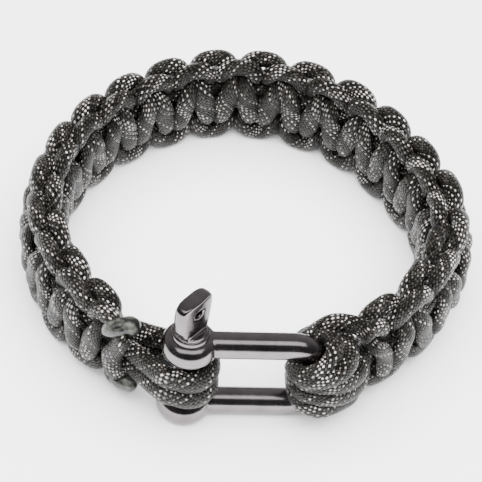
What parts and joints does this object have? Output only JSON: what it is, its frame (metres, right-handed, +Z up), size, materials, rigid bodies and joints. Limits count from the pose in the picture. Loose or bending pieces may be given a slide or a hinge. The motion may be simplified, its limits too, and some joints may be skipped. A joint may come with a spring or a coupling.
{
  "type": "paracord bracelet",
  "caption": "Woven paracord bracelet, a closed loop joined by a D-shaped steel shackle with a screw pin.",
  "frame": {"origin": "on the floor under the middle of the wrist opening, with the bracelet lying on its lower edge", "axes": "+Z up along the wrist, -Y towards the shackle, +X from the screw pin towards the shackle's round end"},
  "size_m": [0.0884, 0.0883, 0.0325],
  "materials": {
    "steel": "polished stainless steel, slightly worn",
    "cord": "braided nylon sheath in grey, black and silver",
    "melted_cord": "melted nylon, shiny"
  },
  "bodies": {
    "bracelet": {"shackle_bow": "steel", "core_cord_upper": "cord", "core_cord_lower": "cord", "weave_cord_outer": "cord", "weave_cord_inner": "cord", "bow_lashing": "cord", "melted_end_upper": "melted_cord", "melted_end_lower": "melted_cord"},
    "pin": {"screw_pin": "steel"}
  },
  "joints": [
    {"name": "pin_draw", "type": "slide", "parent": "bracelet", "child": "pin", "axis": [0, 0, 1], "range_m": [0, 0.022]}
  ]
}
